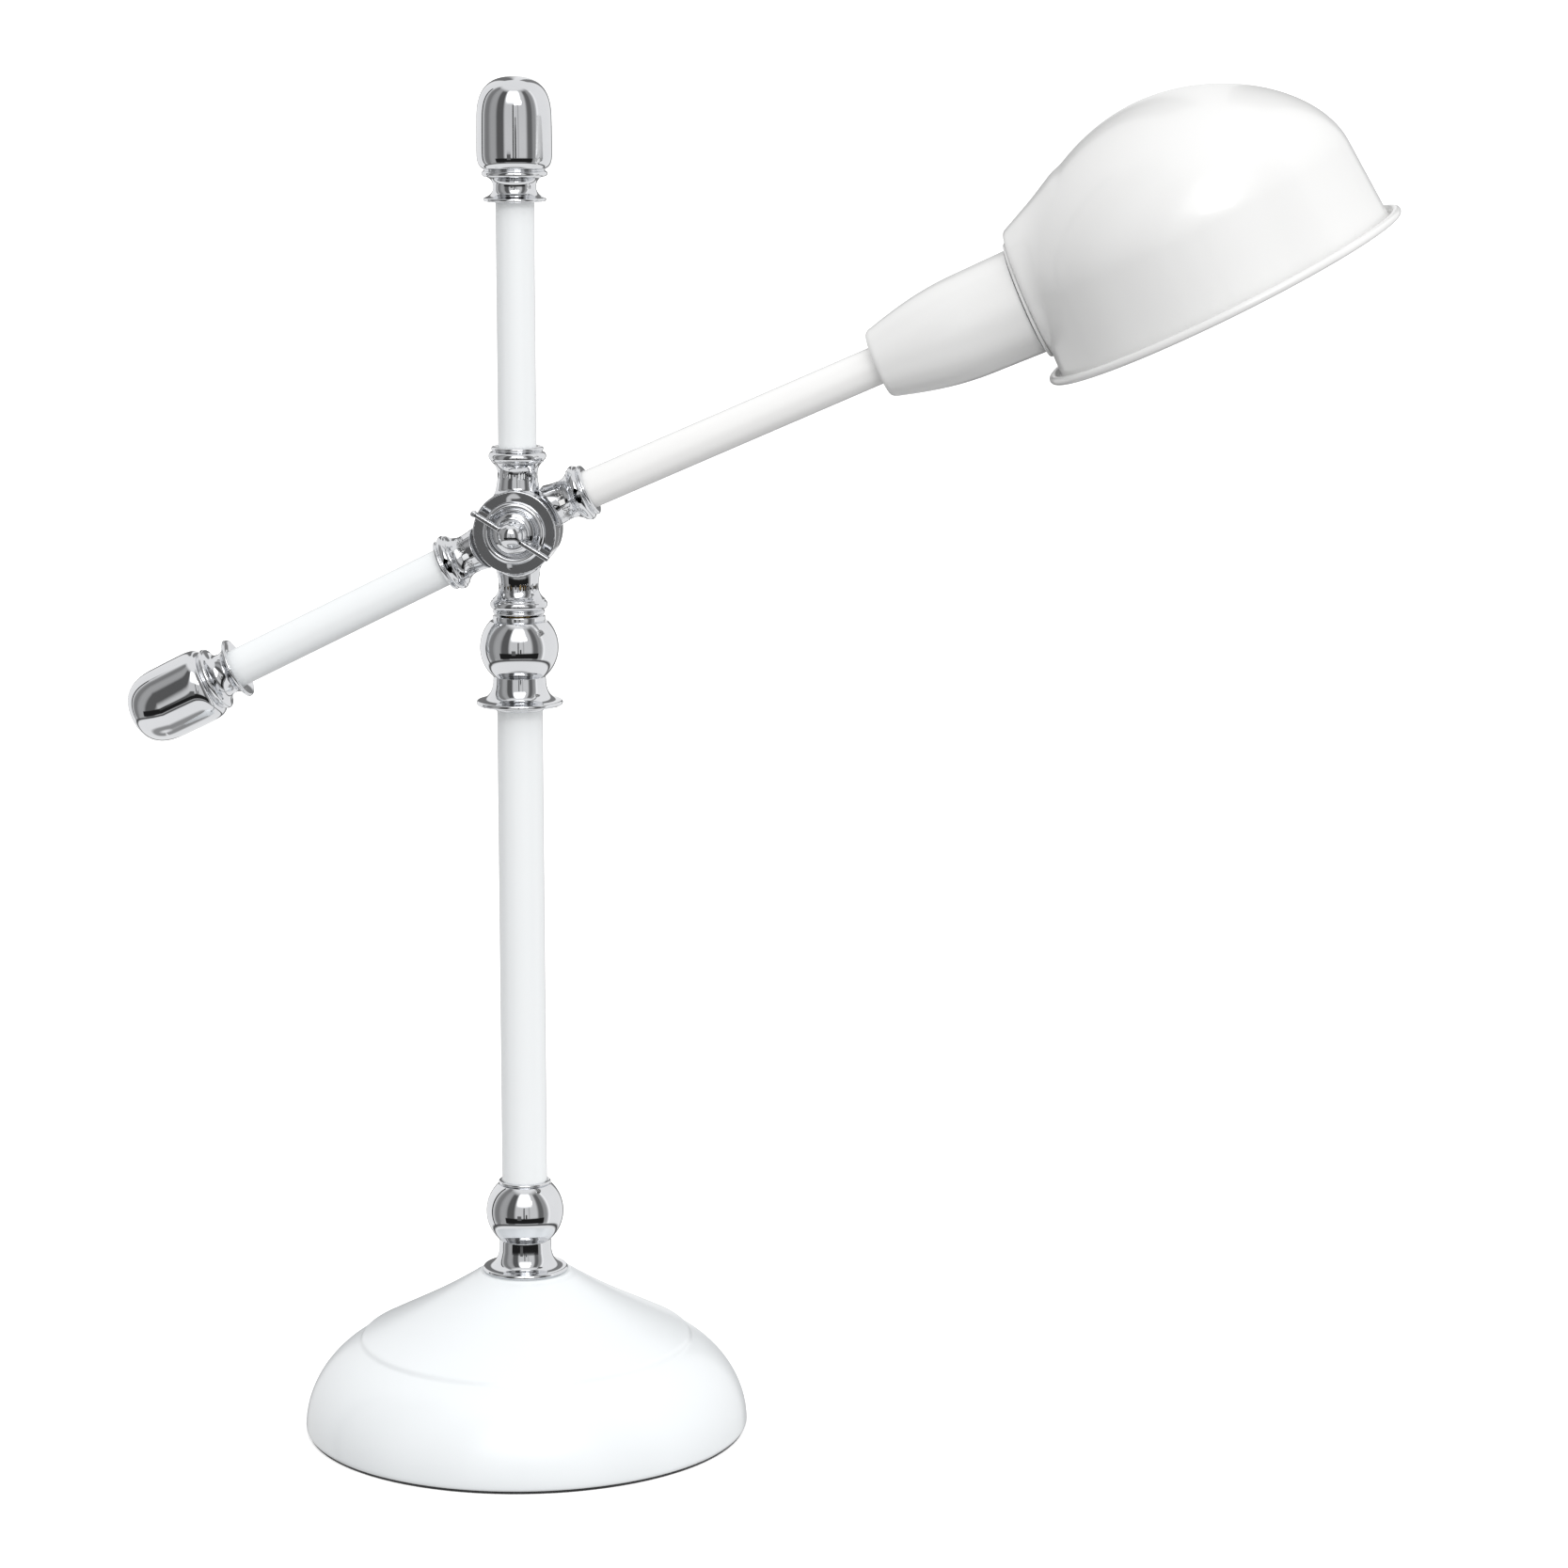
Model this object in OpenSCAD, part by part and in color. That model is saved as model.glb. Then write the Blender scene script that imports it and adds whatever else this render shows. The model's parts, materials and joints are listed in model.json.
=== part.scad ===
// Architect desk lamp: a weighted spun base, a stem with ball fittings and a
// cross pivot, and a tilting arm that carries a helmet shade.
// The origin is the centre of the underside. +Z is up, the arm lies in the
// XZ plane with the shade towards +X, and the wing nut faces -Y.

/* [Base] */
// Largest radius of the spun base
base_r = 85.8; // [75:0.1:95]
// Height of the base shell, up to the bottom fitting
base_h = 62.5; // [55:0.5:70]
// Wall of the spun base shell
base_wall = 1.3; // [0.8:0.1:2]
// Thickness of the felt pad under the base
pad_t = 1.2; // [0.8:0.1:3]
// Radius of the cast weight inside the base
weight_r = 70; // [60:1:74]
// Top of the cast weight
weight_top = 24; // [18:0.5:26]
// Height of the lead inlet in the back of the base
inlet_z = 8; // [7:0.5:10]
// Radius of the lead inlet's bore
inlet_r = 3.2; // [2.5:0.1:4]

/* [Stem] */
// Radius of the lower stem tube
lower_r = 8.7; // [8:0.1:9.4]
// Height of the pivot axis above the table
pivot_z = 351.3; // [330:0.1:370]
// Radius of the ball on each stem fitting
ball_r = 14.9; // [14:0.1:16]
// Radius of the flange on each stem fitting
flange_r = 16; // [15:0.1:18]
// Length of upper stem that shows between its socket and the finial
upper_show = 91.4; // [70:0.1:110]

/* [Arm] */
// Radius of the upper stem and of both arm tubes
tube_r = 7.25; // [6.5:0.05:7.6]
// Wall of every tube
tube_wall = 1.2; // [0.8:0.1:2]
// Angle of the rear arm tube above level, in degrees
arm_angle = 26.6; // [5:0.1:28]
// Sag of the front arm tube against the rear one, in degrees
front_sag = 2.8; // [0:0.1:4]
// Height of the front tube's axis over the pivot, square to the tube
front_lift = 3.4; // [0:0.1:3.6]
// Length of rear arm from the pivot to the finial
rear_len = 121.3; // [100:0.1:150]
// Distance from the pivot to the start of the socket cup
cup_start = 150.4; // [120:0.1:180]

/* [Pivot] */
// Distance from the pivot to each tube socket's mouth
socket_len = 31.9; // [30:0.1:34]
// Radius of the two lapped pivot discs
disc_r = 15.8; // [15:0.1:16.5]
// Distance from the tube axes to each disc's outer face
disc_y = 9.2; // [9:0.1:10]
// Radius of the pivot bolt
bolt_r = 3; // [2.5:0.1:3.2]
// Tip to tip span of the wing nut
wing_span = 33.8; // [28:0.1:40]
// Slope of the wing nut's wings at rest, in degrees
wing_angle = 31; // [0:1:90]

/* [Shade] */
// Radius of the shade's wall at the opening
shade_r = 66.3; // [62:0.1:70]
// Height of the shade's nearly straight wall
shade_wall_h = 28.1; // [24:0.1:32]
// How far the wall closes in over that height
shade_taper = 1.3; // [0:0.1:3]
// Height of the dome above the wall
dome_h = 47.1; // [42:0.1:52]
// Thickness of the shade's sheet metal
shade_t = 1; // [0.8:0.1:1.4]
// Distance from the shade's back plate to its centre
shade_reach = 65.8; // [62:0.1:70]
// Drop of the shade's opening below the arm's axis
shade_drop = 24.3; // [18:0.1:26]
// Pitch of the opening against the front tube, in degrees
shade_pitch = 2.8; // [0:0.1:5]
// Turn of the shade about the arm at rest, in degrees
shade_roll = 2.4; // [0:0.1:8]
// Radius of the rolled bead around the opening
bead_r = 1.6; // [1.2:0.1:2]

/* [Hidden] */
$fn = 96;
gap = 0.3; // between parts that move past each other
fit = 0.05; // radial clearance of shafts, tubes and threads
nipple_r = 5; // threaded nipples
lead_r = 2; // the lead inside the tubes
bore_r = 3.2; // way for the lead through nipples and castings
tube_seat = 12; // how far a tube goes into its socket
tube_base = base_h + 20; // lower end of the lower stem tube
lead_start = pad_t + 3; // lower end of the stem's lead
coupling_bottom = pivot_z - 68.3; // underside of the coupling
coupling_h = 36; // coupling, underside to top
disc_gap = 0.5; // from the lap plane to each disc's inner face
lap_r = disc_r + 1.9; // recess around the other casting's disc
chamber_r = 11; // lead chamber inside the lapped discs
neck_waist = 7.6; // radius of each socket's neck at its waist
tilt_up = 3; // tilt above rest that the necks leave room for, in degrees
rosette_h = 3; // height of the rosette under the wing nut
nut_base = rosette_h + 1.1 + gap; // foot of the wing nut, over the front disc
finial_len = 46.2; // finial, flange to crown
stem_end = pivot_z + socket_len + upper_show; // where the top finial sits
cup_end = cup_start + 59.7; // mouth of the socket cup
cup_r = 20.3; // radius of the socket cup at its mouth
holder_x = cup_start + 22; // back of the lamp holder
holder_end = cup_end + 14.6; // mouth of the lamp holder's sleeve
holder_r = 15.6; // threaded sleeve of the lamp holder
shell_r = 13.8; // outside of the screw shell
plate_x = cup_end + 1.9; // outer face of the shade's back plate
neck_r = 24.6; // shade neck at the back plate
neck_lift = 1.8; // height of the neck's axis over the arm's, square to the arm
neck_slope = 26; // half angle of the shade neck, in degrees
neck_len = 34; // length of the neck's cone
bulb_r = 23.8; // small round-topped lamp bulb
bulb_seat = plate_x + 3; // where the glass leaves its cap

// A cubic curve through the plane, as n + 1 points
function curve(a, b, c, d, n = 12) = [for (i = [0:n]) let (t = i / n, s = 1 - t)
    s * s * s * a + 3 * s * s * t * b + 3 * s * t * t * c + t * t * t * d];
// An arc of an ellipse, as n + 1 points
function arc(centre, rx, ry, from, to, n = 16) = [for (i = [0:n]) let (a = from + (to - from) * i / n)
    centre + [rx * cos(a), ry * sin(a)]];

module lathe(outline) rotate_extrude() polygon(outline);
// A lathe outline laid along +X, for the parts on the arm
module lathe_x(outline) rotate([0, 90, 0]) lathe(outline);
module pipe(r, bore, z0, z1) translate([0, 0, z0]) difference() {
    cylinder(h = z1 - z0, r = r);
    translate([0, 0, -1]) cylinder(h = z1 - z0 + 2, r = bore);
}
// The frame of the rear arm: +X runs from the pivot towards the shade
module in_arm() translate([0, 0, pivot_z]) rotate([0, -arm_angle, 0]) children();
// The frame of the front arm, which sags a little in its socket
module in_front() translate([0, 0, pivot_z]) rotate([0, -arm_angle + front_sag, 0])
    translate([0, 0, front_lift]) children();
// The frame of the shade's opening: its centre, with +Z through the crown
module in_shade() in_front() rotate([shade_roll, 0, 0])
    translate([plate_x + shade_reach, 0, -shade_drop]) rotate([0, -shade_pitch, 0]) children();

// ---- base ----

// Outside of the base, from the rim up to the top: a dome, a small step and a cone
function base_outline(inset) = let (r = base_r - inset, top = base_h - inset) concat(
    curve([r - 0.6, pad_t + inset / 4], [r - 0.1, 1.8], [r, 2.2], [r, 3], 4),
    curve([r, 3], [r - 0.5, 16], [r - 8.6, 27.8 - inset], [r - 20.3, 34.4 - inset], 20),
    [[r - 21.5, 34.9 - inset], [r - 22.1, 36.5 - inset]],
    curve([r - 23.2, 37.1 - inset], [r - 35, 43 - inset], [36, 50.5 - inset], [20, 60.8 - inset], 12),
    [[17.4, top]]);

module base_pad() color("#1b1b1c") cylinder(h = pad_t, r = base_r - 1);

module base_shell() color("#eef2f5") difference() {
    lathe(concat([[0, pad_t]], base_outline(0), [[0, base_h]]));
    translate([0, 0, -0.01]) lathe(concat([[0, 0], [base_r - base_wall - 0.6, 0]],
        base_outline(base_wall), [[0, base_h - base_wall]]));
    cylinder(h = base_h + 1, r = nipple_r + fit);
    translate([0, base_r + 4, inlet_z]) rotate([90, 0, 0]) cylinder(h = 14, r = inlet_r + 1.9);
}

module base_weight() color("#4a4a4c") difference() {
    lathe([[0, pad_t], [weight_r, pad_t], [weight_r, weight_top - 3], [weight_r - 3, weight_top],
        [0, weight_top]]);
    cylinder(h = weight_top + 1, r = nipple_r + fit);
    translate([0, 0, pad_t - 1]) cylinder(h = 10, r = 15);
    translate([-4, 0, pad_t - 1]) cube([8, weight_r + 1, inlet_z + 2.8]);
}

module base_spacer() color("#8d8f92") pipe(8, nipple_r + fit, weight_top, base_h - base_wall);
module base_washer() color("#a3a5a8") pipe(12, nipple_r + fit, pad_t + 7.3, pad_t + 9);
module base_nut() color("#9a9ca0") difference() {
    translate([0, 0, pad_t + 2]) cylinder(h = 5.3, r = 9.8, $fn = 6);
    cylinder(h = 20, r = nipple_r + fit);
}
module base_nipple() color("#b5a06a") pipe(nipple_r, bore_r, pad_t + 1.4, base_h + 12);

// The lead inlet's axis: +Z runs inwards from the flange's outer face
module at_inlet() translate([0, base_r + 1.9, inlet_z]) rotate([90, 0, 0]) children();

module cord_bushing() color("#e9e9e7") difference() {
    union() {
        difference() {
            at_inlet() lathe([[0, 0], [4.8, 0], [6.2, 0.7], [6.6, 1.3], [6.6, 6], [0, 6]]);
            lathe(concat([[0, pad_t]], base_outline(-fit), [[0, base_h]]));
        }
        at_inlet() cylinder(h = 8, r = inlet_r + 1.8);
        at_inlet() translate([0, 0, 6.1]) cylinder(h = 1.4, r = inlet_r + 2.9);
    }
    at_inlet() translate([0, 0, -1]) cylinder(h = 12, r = inlet_r);
}

// Ball, waist and trumpet flange; z is the flange's underside, up is +Z
function fitting_outline(ball_z, low, high) = concat(
    [[0, 0], [flange_r, 0]],
    arc([flange_r - 0.1, 0.9], 0.5, 0.9, -60, 90, 6),
    curve([flange_r - 0.8, 1.9], [12.6, 3], [10.6, 4.6], [10.1, 8.2], 10),
    [[10, low - 0.6], [10.2, low]],
    arc([0, ball_z], ball_r, ball_r, -asin((ball_z - low) / ball_r), asin((high - ball_z) / ball_r), 24),
    [[0, high]]);

module base_fitting() color("#c9ccd1") translate([0, 0, base_h]) difference() {
    union() {
        lathe(fitting_outline(23.7, 12.8, 34.6));
        lathe(concat([[0, 34], [9.4, 34]], arc([9.3, 35.3], 0.7, 1, -70, 90, 8), [[0, 36.3]]));
    }
    translate([0, 0, -1]) cylinder(h = 15, r = nipple_r + fit);
    cylinder(h = 30, r = bore_r);
    translate([0, 0, tube_base - base_h]) cylinder(h = 20, r = lower_r + fit);
}

module lower_stem() color("#edf1f4")
    pipe(lower_r, lower_r - tube_wall, tube_base, coupling_bottom + tube_seat);

module stem_lead() color("#2a2a2a")
    translate([0, 0, lead_start]) cylinder(h = pivot_z - lap_r - 1 - lead_start, r = lead_r, $fn = 32);

module stem_coupling() color("#c9ccd1") translate([0, 0, coupling_bottom]) difference() {
    union() {
        lathe(concat([[0, 0], [9.1, 0]], arc([9.4, 1], 0.8, 1, -60, 60, 6), [[0, 2]]));
        translate([0, 0, 1.7]) lathe(fitting_outline(22, 10.9, 32.1));
        lathe([[0, 32], [9.7, 32], [9.9, 33.4], [9.9, 35.2], [9.5, coupling_h], [0, coupling_h]]);
    }
    translate([0, 0, -1]) cylinder(h = tube_seat + 1, r = lower_r + fit);
    cylinder(h = 60, r = bore_r);
    translate([0, 0, coupling_h - 12]) cylinder(h = 20, r = nipple_r + fit);
}

module coupling_nipple() color("#b5a06a")
    pipe(nipple_r, bore_r, coupling_bottom + coupling_h - 12, pivot_z - lap_r - 2.5);

// ---- pivot ----

// Outline of one tube socket, from inside the disc out to its mouth, along its own axis
function socket_outline(neck) = concat(
    [[0, 5], [neck + 1.4, 5]],
    curve([neck + 1.3, 13], [neck + 0.4, 16.5], [neck - 0.3, 19.6], [neck, 22.4], 8),
    curve([neck, 22.4], [neck + 0.5, 24.3], [neck + 1.6, 25.2], [neck + 2.3, 26], 6),
    arc([neck + 1.1, 28.1], 2.2, 2.1, -50, 55, 8),
    [[neck + 1.6, 30.1]],
    arc([neck + 1.2, 31], 1, 0.9, -40, 90, 6),
    [[0, socket_len]]);

module socket() lathe(socket_outline(neck_waist));
module tube_hole() translate([0, 0, socket_len - tube_seat]) cylinder(h = tube_seat + 1, r = tube_r + fit);
module lead_hole(r) translate([0, 0, 9]) cylinder(h = socket_len, r = r);
module along_y(h, r) rotate([90, 0, 0]) cylinder(h = h, r = r);

// One pivot disc, on the -Y side, with a lead chamber in its inner face
module lap_disc() difference() {
    rotate([90, 0, 0]) lathe([[0, disc_gap], [disc_r, disc_gap], [disc_r, disc_y - 0.4],
        [disc_r - 0.4, disc_y], [0, disc_y]]);
    difference() {
        along_y(4.5, chamber_r);
        along_y(6, bolt_r + 2.6);
    }
}

// Necks cut back from the far casting's disc, and from this casting's own lead chamber
module lap_necks() difference() {
    children();
    translate([0, disc_gap + disc_y + 6, 0]) along_y(2 * disc_gap + disc_y + 6, lap_r);
    along_y(20, disc_r - 3);
}

module stem_casting() color("#c9ccd1") translate([0, 0, pivot_z]) difference() {
    union() {
        lap_necks() union() {
            socket();
            mirror([0, 0, 1]) socket();
        }
        lap_disc();
    }
    tube_hole();
    mirror([0, 0, 1]) lead_hole(nipple_r + fit);
    along_y(20, bolt_r + fit);
}

module arm_casting() color("#c9ccd1") difference() {
    union() {
        in_arm() mirror([0, 1, 0]) lap_necks() difference() {
            union() {
                rotate([0, -90, 0]) socket();
                rotate([0, front_sag, 0]) translate([0, 0, front_lift]) rotate([0, 90, 0]) socket();
            }
            rotate([0, arm_angle + tilt_up, 0]) translate([0, 0, 10]) cylinder(h = 16, r = neck_waist + 1);
        }
        in_arm() mirror([0, 1, 0]) lap_disc();
    }
    in_arm() rotate([0, -90, 0]) tube_hole();
    in_front() rotate([0, 90, 0]) tube_hole();
    in_front() rotate([0, 90, 0]) lead_hole(bore_r);
    in_arm() translate([0, 20, 0]) along_y(30, bolt_r + fit);
}

// Parts stacked along the bolt: +Z here points to the front, away from the front disc
module on_bolt() in_arm() translate([0, -disc_y, 0]) rotate([90, 0, 0]) children();
module bolt_ring(outline) on_bolt() difference() {
    lathe(outline);
    translate([0, 0, -1]) cylinder(h = 20, r = bolt_r + fit);
}

module friction_washer() color("#6b5a48") translate([0, -disc_gap, pivot_z]) rotate([-90, 0, 0])
    pipe(disc_r - 0.5, chamber_r + 0.5, 0, 2 * disc_gap - gap);

module pivot_rosette() color("#d5d8dc") bolt_ring(concat(
    [[0, 0], [11.9, 0]],
    arc([10.4, 0.5], 1.5, 1.8, 0, 160, 14),
    curve([8.7, 0.9], [8.3, 0.9], [8.2, 1.8], [7.6, 2.2], 6),
    [[6.9, 2.6], [6.2, rosette_h], [0, rosette_h]]));

module nut_washer() color("#c2c6cb") bolt_ring([[0, rosette_h], [6.3, rosette_h], [6.5, rosette_h + 0.3],
    [6.3, rosette_h + 0.9], [5.8, rosette_h + 1.1], [0, rosette_h + 1.1]]);

module wing_nut() color("#dcdfe3") on_bolt() difference() {
    union() {
        lathe(concat([[0, nut_base], [5.2, nut_base], [5.4, nut_base + 0.5], [5.2, nut_base + 1.6]],
            curve([4.7, nut_base + 2.2], [4.4, nut_base + 3], [4.4, nut_base + 3.4], [4.7, nut_base + 4], 5),
            arc([0, nut_base + 4], 4.7, 4.2, 0, 90, 14)));
        rotate([0, 0, -wing_angle - arm_angle]) translate([0, 0, nut_base + 3]) {
            translate([-wing_span / 2 + 1, -0.65, 0]) cube([wing_span - 1, 1.3, 3.4]);
            translate([-wing_span / 2 + 1, 0, 0]) cylinder(h = 3.4, r = 1.1);
        }
    }
    cylinder(h = nut_base + 3.6, r = bolt_r + fit);
}

module pivot_bolt() color("#c2c6cb") in_arm() rotate([-90, 0, 0]) {
    translate([0, 0, -disc_y - nut_base - 3]) cylinder(h = 2 * disc_y + nut_base + 4, r = bolt_r);
    translate([0, 0, disc_y])
        lathe(concat([[0, 0], [7.4, 0], [7.6, 0.6]], arc([0, 0.9], 7.6, 3.4, 0, 90, 14)));
}

// ---- tubes and finials ----

module finial() difference() {
    lathe(concat(
        [[0, 0], [11, 0], [11.7, 0.5], [11.7, 1.3]],
        curve([11.1, 1.8], [9.4, 2.4], [8.3, 3.4], [8.1, 4.6], 8),
        curve([8, 6.4], [8, 7.4], [8.7, 8.4], [10.6, 9.2], 8),
        arc([11.2, 10.4], 1.1, 1.1, -50, 70, 6),
        [[11.7, 12.1]],
        curve([12.4, 12.9], [13.6, 13.9], [14.1, 15.4], [14.15, 17.6], 8),
        [[14.1, 30.6]],
        curve([14.05, 31.6], [13.8, 40.6], [10.6, finial_len], [0, finial_len], 22)));
    translate([0, 0, -1]) cylinder(h = tube_seat + 1, r = tube_r + fit);
}
module top_finial() color("#c9ccd1") translate([0, 0, stem_end]) finial();
module rear_finial() color("#c9ccd1") in_arm() translate([-rear_len, 0, 0]) rotate([0, -90, 0]) finial();

module thin_tube(from, to) pipe(tube_r, tube_r - tube_wall, from, to);
module upper_stem() color("#edf1f4")
    thin_tube(pivot_z + socket_len - tube_seat, stem_end + tube_seat);
module rear_arm_tube() color("#edf1f4")
    in_arm() rotate([0, -90, 0]) thin_tube(socket_len - tube_seat, rear_len + tube_seat);
module front_arm_tube() color("#edf1f4")
    in_front() rotate([0, 90, 0]) thin_tube(socket_len - tube_seat, cup_start + 9);
module arm_lead() color("#2a2a2a")
    in_front() rotate([0, 90, 0]) translate([0, 0, lap_r + 1])
        cylinder(h = holder_x - lap_r - 1, r = lead_r, $fn = 32);

// ---- lamp holder ----

// Outline of the socket cup, drawn along the front arm; inset gives its inside
function cup_outline(inset) = concat(
    curve([11.4 - inset, cup_start + inset], [12.6 - inset, cup_start + inset],
        [13.3 - inset, cup_start + inset + 0.9], [13.7 - inset, cup_start + 2.6 + inset], 6),
    curve([13.7 - inset, cup_start + 2.6 + inset], [17.4 - inset, cup_start + 16],
        [19.6 - inset, cup_start + 26], [19.8 - inset, cup_start + 40], 14),
    [[cup_r - inset, cup_end]]);

module socket_cup() color("#eef1f3") in_front() difference() {
    lathe_x(concat([[0, cup_start]], cup_outline(0), [[0, cup_end]]));
    lathe_x(concat([[0, cup_start + 1.2]], cup_outline(1.2), [[cup_r - 1.2, cup_end + 1], [0, cup_end + 1]]));
    rotate([0, 90, 0]) cylinder(h = cup_end, r = tube_r + fit);
}

module cup_nut() color("#9a9ca0") in_front() rotate([0, 90, 0]) difference() {
    translate([0, 0, cup_start + 1.2]) cylinder(h = 4, r = 10.6, $fn = 6);
    cylinder(h = cup_end, r = tube_r + fit);
}

module lamp_holder() color("#2b2b2d") in_front() difference() {
    lathe_x([[0, holder_x], [14, holder_x], [15.8, holder_x + 1.8], [16.2, cup_end - 6], [18.8, cup_end - 5],
        [18.8, cup_end], [holder_r, cup_end], [holder_r, holder_end], [0, holder_end]]);
    rotate([0, 90, 0]) translate([0, 0, holder_x + 7]) cylinder(h = 60, r = shell_r + fit);
}

module screw_shell() color("#c8a450") in_front() rotate([0, 90, 0])
    pipe(shell_r, shell_r - 0.5, holder_x + 9, holder_end - 2);
module centre_contact() color("#c8a450") in_front()
    lathe_x([[0, holder_x + 7], [6, holder_x + 7], [6, holder_x + 8], [3.4, holder_x + 9.6],
        [0, holder_x + 10]]);
module holder_ring() color("#2b2b2d") in_front() rotate([0, 90, 0])
    pipe(20.4, holder_r + fit, plate_x + shade_t + gap, plate_x + shade_t + gap + 4);

module bulb_cap() color("#c7c9cc") in_front() lathe_x([[0, holder_x + 10.3], [4, holder_x + 10.4],
    [6.4, holder_x + 12], [12.7, holder_x + 15.4], [12.9, bulb_seat], [0, bulb_seat]]);

function bulb_outline(inset) = concat(
    [[12.7 - inset, bulb_seat]],
    curve([12.7 - inset, bulb_seat + 4], [13.4 - inset, bulb_seat + 17],
        [bulb_r - inset, bulb_seat + 22], [bulb_r - inset, bulb_seat + 38], 14),
    arc([0, bulb_seat + 38], bulb_r - inset, bulb_r - inset, 4, 90, 16));
module bulb_glass() color([0.95, 0.95, 0.93, 0.6]) in_front() difference() {
    lathe_x(concat([[0, bulb_seat]], bulb_outline(0)));
    lathe_x(concat([[0, bulb_seat - 1], [11.9, bulb_seat - 1]], bulb_outline(0.8)));
}

// ---- shade ----

module at_ring() in_front() rotate([0, 90, 0]) translate([0, 0, plate_x - 1.5]) children();

module shade_ring() color("#dfe3e6") at_ring() difference() {
    lathe(concat([[0, 0], [22, 0]], arc([22.1, 0.7], 0.7, 0.7, -80, 80, 8), [[22, 1.5], [0, 1.5]]));
    translate([0, 0, -1]) cylinder(h = 4, r = holder_r + gap);
}

// The bell without its neck, drawn about the shade's own axis
function dome_outline(inset, bottom) =
    let (r = shade_r - shade_taper - inset, top = shade_wall_h + dome_h - inset) concat(
    [[0, bottom], [shade_r - inset, bottom]],
    curve([r, shade_wall_h], [r - 1, shade_wall_h + 22.6 - inset / 2], [32.8, top], [0, top], 40));
module dome(inset, bottom) lathe(dome_outline(inset, bottom));

// The cone that joins the back plate to the bell, cut off level with the opening
module neck(inset) intersection() {
    in_front() translate([0, 0, neck_lift]) lathe_x([[0, plate_x + inset],
        [neck_r - 1.4 - inset, plate_x + inset], [neck_r - 0.3 - inset, plate_x + 0.5 + inset],
        [neck_r + 0.7 - inset, plate_x + 1.8 + inset],
        [neck_r + neck_len * tan(neck_slope) - inset, plate_x + neck_len], [0, plate_x + neck_len]]);
    in_shade() translate([-1.5 * shade_r, -shade_r, inset / 2]) cube([3 * shade_r, 2 * shade_r, 2 * shade_r]);
}

// The gutter and the rolled bead around the opening
module shade_rim() {
    lathe([[shade_r - shade_t, 0.6], [shade_r - shade_t, -1.6], [shade_r - 0.6, -3.4],
        [shade_r + 0.6, -3.9], [shade_r + 3.2, -3.9], [shade_r + 3.2, -3], [shade_r + 1.4, -3.1],
        [shade_r + 0.5, -2.7], [shade_r, -1.6], [shade_r, 0.6]]);
    rotate_extrude() translate([shade_r + 3.4, -2.5]) circle(r = bead_r, $fn = 32);
}

module shade() color("#e9e9e7") difference() {
    union() {
        in_shade() dome(0, 0);
        neck(0);
        in_shade() shade_rim();
    }
    intersection() {
        union() {
            in_shade() dome(shade_t, -1);
            neck(shade_t);
        }
        in_front() translate([plate_x + shade_t, -100, -100]) cube(200);
    }
    in_shade() translate([0, 0, -5]) cylinder(h = 6, r = shade_r - shade_t);
    in_front() rotate([0, 90, 0]) cylinder(h = plate_x + 10, r = holder_r + gap);
    in_front() rotate([0, 90, 0]) translate([0, 0, plate_x - 6]) cylinder(h = 6, r = 23.2);
}

base_pad();
base_shell();
base_weight();
base_spacer();
base_washer();
base_nut();
base_nipple();
cord_bushing();
base_fitting();
lower_stem();
stem_lead();
stem_coupling();
coupling_nipple();
stem_casting();
upper_stem();
top_finial();
friction_washer();
pivot_rosette();
nut_washer();
arm_casting();
pivot_bolt();
wing_nut();
rear_arm_tube();
rear_finial();
front_arm_tube();
arm_lead();
socket_cup();
cup_nut();
lamp_holder();
screw_shell();
centre_contact();
holder_ring();
shade_ring();
shade();
bulb_cap();
bulb_glass();
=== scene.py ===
"""The looks of the architect desk lamp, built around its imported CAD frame."""
import json
import math

import bpy
import numpy as np
from mathutils import Matrix, Vector


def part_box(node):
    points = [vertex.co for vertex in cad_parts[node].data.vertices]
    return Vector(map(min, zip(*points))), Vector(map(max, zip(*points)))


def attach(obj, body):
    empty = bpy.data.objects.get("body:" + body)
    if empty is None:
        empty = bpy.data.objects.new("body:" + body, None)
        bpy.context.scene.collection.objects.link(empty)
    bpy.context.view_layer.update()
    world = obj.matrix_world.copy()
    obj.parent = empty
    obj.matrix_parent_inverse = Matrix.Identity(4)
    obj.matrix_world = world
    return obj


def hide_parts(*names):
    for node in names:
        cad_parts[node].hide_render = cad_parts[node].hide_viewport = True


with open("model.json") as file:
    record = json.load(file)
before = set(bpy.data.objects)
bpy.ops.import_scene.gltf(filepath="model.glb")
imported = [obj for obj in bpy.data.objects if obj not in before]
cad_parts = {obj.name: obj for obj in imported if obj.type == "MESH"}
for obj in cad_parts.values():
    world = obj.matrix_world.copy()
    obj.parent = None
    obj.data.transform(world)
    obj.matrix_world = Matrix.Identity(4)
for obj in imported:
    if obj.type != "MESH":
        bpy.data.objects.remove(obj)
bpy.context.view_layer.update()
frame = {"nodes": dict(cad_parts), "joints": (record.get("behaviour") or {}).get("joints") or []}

MM = 0.001
TURN = 2 * math.pi
LATHE_STEPS = 144
SAME_POINT, ON_AXIS = 1e-4, 1e-6
FIT = 0.06
NIPPLE_HOLE = 5.1
HOLDER_HOLE = 15.9

# ---- places, all taken from the frame ----

joints = {j["name"]: j for j in frame["joints"]}
PIVOT = Vector(joints["arm_tilt"]["pos_m"])
FRONT_AXIS = Vector(joints["shade_turn"]["axis"]).normalized()
SHADE_SEAT = Vector(joints["shade_turn"]["pos_m"])


def middle(node):
    low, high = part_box(node)
    return (low + high) / 2


def span_along(node, origin, axis):
    """Where a node starts and ends along an axis, in millimetres."""
    at = [(Vector(v.co) - origin).dot(axis) / MM for v in frame["nodes"][node].data.vertices]
    return min(at), max(at)


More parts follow.
